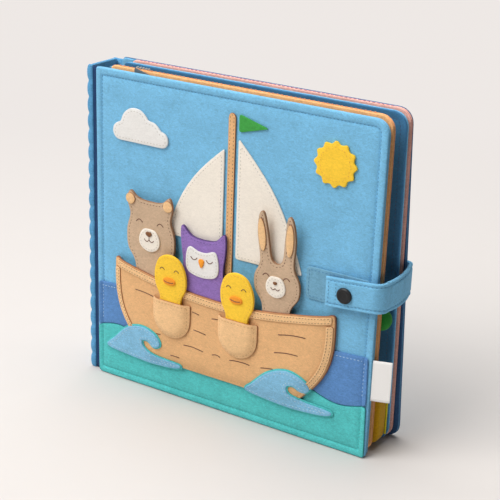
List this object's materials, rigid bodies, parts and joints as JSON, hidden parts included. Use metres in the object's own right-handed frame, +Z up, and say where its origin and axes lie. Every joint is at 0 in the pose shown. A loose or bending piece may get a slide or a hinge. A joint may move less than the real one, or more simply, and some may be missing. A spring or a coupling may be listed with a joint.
{
  "type": "soft activity book",
  "caption": "Soft felt activity book with a hinged cover, turning pages, a snap-closed strap and finger puppets that lift out of a boat-shaped pocket on the front.",
  "frame": {"origin": "middle of the closed book's outer box, on the surface it stands on", "axes": "+X from the spine to the fore-edge, +Y from the front cover to the back cover, +Z up the spine"},
  "size_m": [0.2564, 0.053, 0.243],
  "materials": {
    "sky_felt": "matte sky-blue felt",
    "spine_felt": "matte mid-blue felt",
    "denim_felt": "matte denim-blue felt",
    "teal_felt": "matte teal felt",
    "foam_felt": "matte light-blue felt",
    "tan_felt": "matte tan felt",
    "cream_felt": "matte cream felt",
    "white_felt": "matte white felt",
    "yellow_felt": "matte yellow felt",
    "taupe_felt": "matte grey-brown felt",
    "purple_felt": "matte purple felt",
    "orange_felt": "matte peach-orange felt",
    "pink_felt": "matte pink felt",
    "olive_felt": "matte olive-yellow felt",
    "green_felt": "matte green felt",
    "grey_tape": "woven dark-grey zip tape",
    "label_tape": "smooth white woven tape, blank",
    "stiff_board": "plain stiffening sheet, hidden",
    "snap_plastic": "black satin moulded plastic"
  },
  "bodies": {
    "spine": {"spine_panel": "spine_felt", "spine_edge_front": "spine_felt", "spine_edge_back": "spine_felt", "front_hinge": "spine_felt", "back_hinge": "spine_felt", "gutter_one": "orange_felt", "gutter_two": "sky_felt", "gutter_three": "pink_felt"},
    "front_cover": {"front_cover_felt": "sky_felt", "front_cover_board": "stiff_board", "front_cover_lining": "sky_felt", "sea_band": "denim_felt", "wave_band": "teal_felt", "wave_crest_left": "foam_felt", "wave_crest_right": "foam_felt", "cloud": "white_felt", "sun": "yellow_felt", "mast": "tan_felt", "large_sail": "cream_felt", "small_sail": "cream_felt", "flag": "green_felt", "hull_pocket": "tan_felt", "patch_left": "tan_felt", "patch_right": "tan_felt", "stud_tab": "sky_felt", "snap_stud": "snap_plastic", "side_label": "label_tape"},
    "back_cover": {"back_cover_felt": "sky_felt", "back_cover_board": "stiff_board", "back_cover_lining": "denim_felt", "strap_anchor": "sky_felt"},
    "strap_side": {"strap_side": "sky_felt"},
    "strap_flap": {"strap_flap": "sky_felt", "snap_socket": "snap_plastic", "snap_cap": "snap_plastic"},
    "page_one": {"page_one_front": "orange_felt", "page_one_back": "orange_felt", "zip_tape": "grey_tape"},
    "page_two": {"page_two_front": "denim_felt", "page_two_back": "sky_felt", "page_pouch": "olive_felt", "page_ball": "green_felt"},
    "page_three": {"page_three_front": "pink_felt", "page_three_back": "pink_felt"},
    "bear": {"bear_back": "taupe_felt", "bear_front": "taupe_felt", "bear_snout": "cream_felt"},
    "owl": {"owl_back": "purple_felt", "owl_front": "purple_felt", "owl_face": "white_felt"},
    "rabbit": {"rabbit_back": "taupe_felt", "rabbit_front": "taupe_felt", "rabbit_snout": "cream_felt"},
    "duck_left": {"duck_left_back": "yellow_felt", "duck_left_front": "yellow_felt"},
    "duck_right": {"duck_right_back": "yellow_felt", "duck_right_front": "yellow_felt"}
  },
  "joints": [
    {"name": "front_cover_open", "type": "hinge", "parent": "spine", "child": "front_cover", "pos_m": [-0.12085, -0.0155, 0], "axis": [0, 0, -1], "range_deg": [0, 165]},
    {"name": "back_cover_open", "type": "hinge", "parent": "spine", "child": "back_cover", "pos_m": [-0.12085, 0.026, 0], "axis": [0, -0.0333, 0.9994], "range_deg": [0, 120]},
    {"name": "page_one_turn", "type": "hinge", "parent": "spine", "child": "page_one", "pos_m": [-0.10975, -0.0105, 0], "axis": [0, 0, -1], "range_deg": [0, 135]},
    {"name": "page_two_turn", "type": "hinge", "parent": "spine", "child": "page_two", "pos_m": [-0.10975, 0.0045, 0], "axis": [0, 0, -1], "range_deg": [0, 78]},
    {"name": "page_three_turn", "type": "hinge", "parent": "spine", "child": "page_three", "pos_m": [-0.10625, 0.0093, 0], "axis": [0, 0, -1], "range_deg": [0, 70.5]},
    {"name": "strap_side_swing", "type": "hinge", "parent": "back_cover", "child": "strap_side", "pos_m": [0.12295, 0.02062, 0.1195], "axis": [0, 0, 1], "range_deg": [0, 44]},
    {"name": "strap_flap_lift", "type": "hinge", "parent": "strap_side", "child": "strap_flap", "pos_m": [0.12295, -0.0133, 0.1195], "axis": [0, 0, 1], "range_deg": [0, 110]},
    {"name": "bear_lift", "type": "slide", "parent": "front_cover", "child": "bear", "axis": [0, 0, 1], "range_m": [0, 0.06]},
    {"name": "owl_lift", "type": "slide", "parent": "front_cover", "child": "owl", "axis": [0, 0, 1], "range_m": [0, 0.06]},
    {"name": "rabbit_lift", "type": "slide", "parent": "front_cover", "child": "rabbit", "axis": [0, 0, 1], "range_m": [0, 0.06]},
    {"name": "duck_left_lift", "type": "slide", "parent": "front_cover", "child": "duck_left", "axis": [0, 0, 1], "range_m": [0, 0.04]},
    {"name": "duck_right_lift", "type": "slide", "parent": "front_cover", "child": "duck_right", "axis": [0, 0, 1], "range_m": [0, 0.04]}
  ],
  "couplings": [
    {"joint": "page_one_turn", "follows": "front_cover_open", "ratio": 0.8181},
    {"joint": "page_two_turn", "follows": "front_cover_open", "ratio": 0.4727},
    {"joint": "page_three_turn", "follows": "front_cover_open", "ratio": 0.4272},
    {"joint": "strap_side_swing", "follows": "strap_flap_lift", "ratio": 0.4}
  ]
}
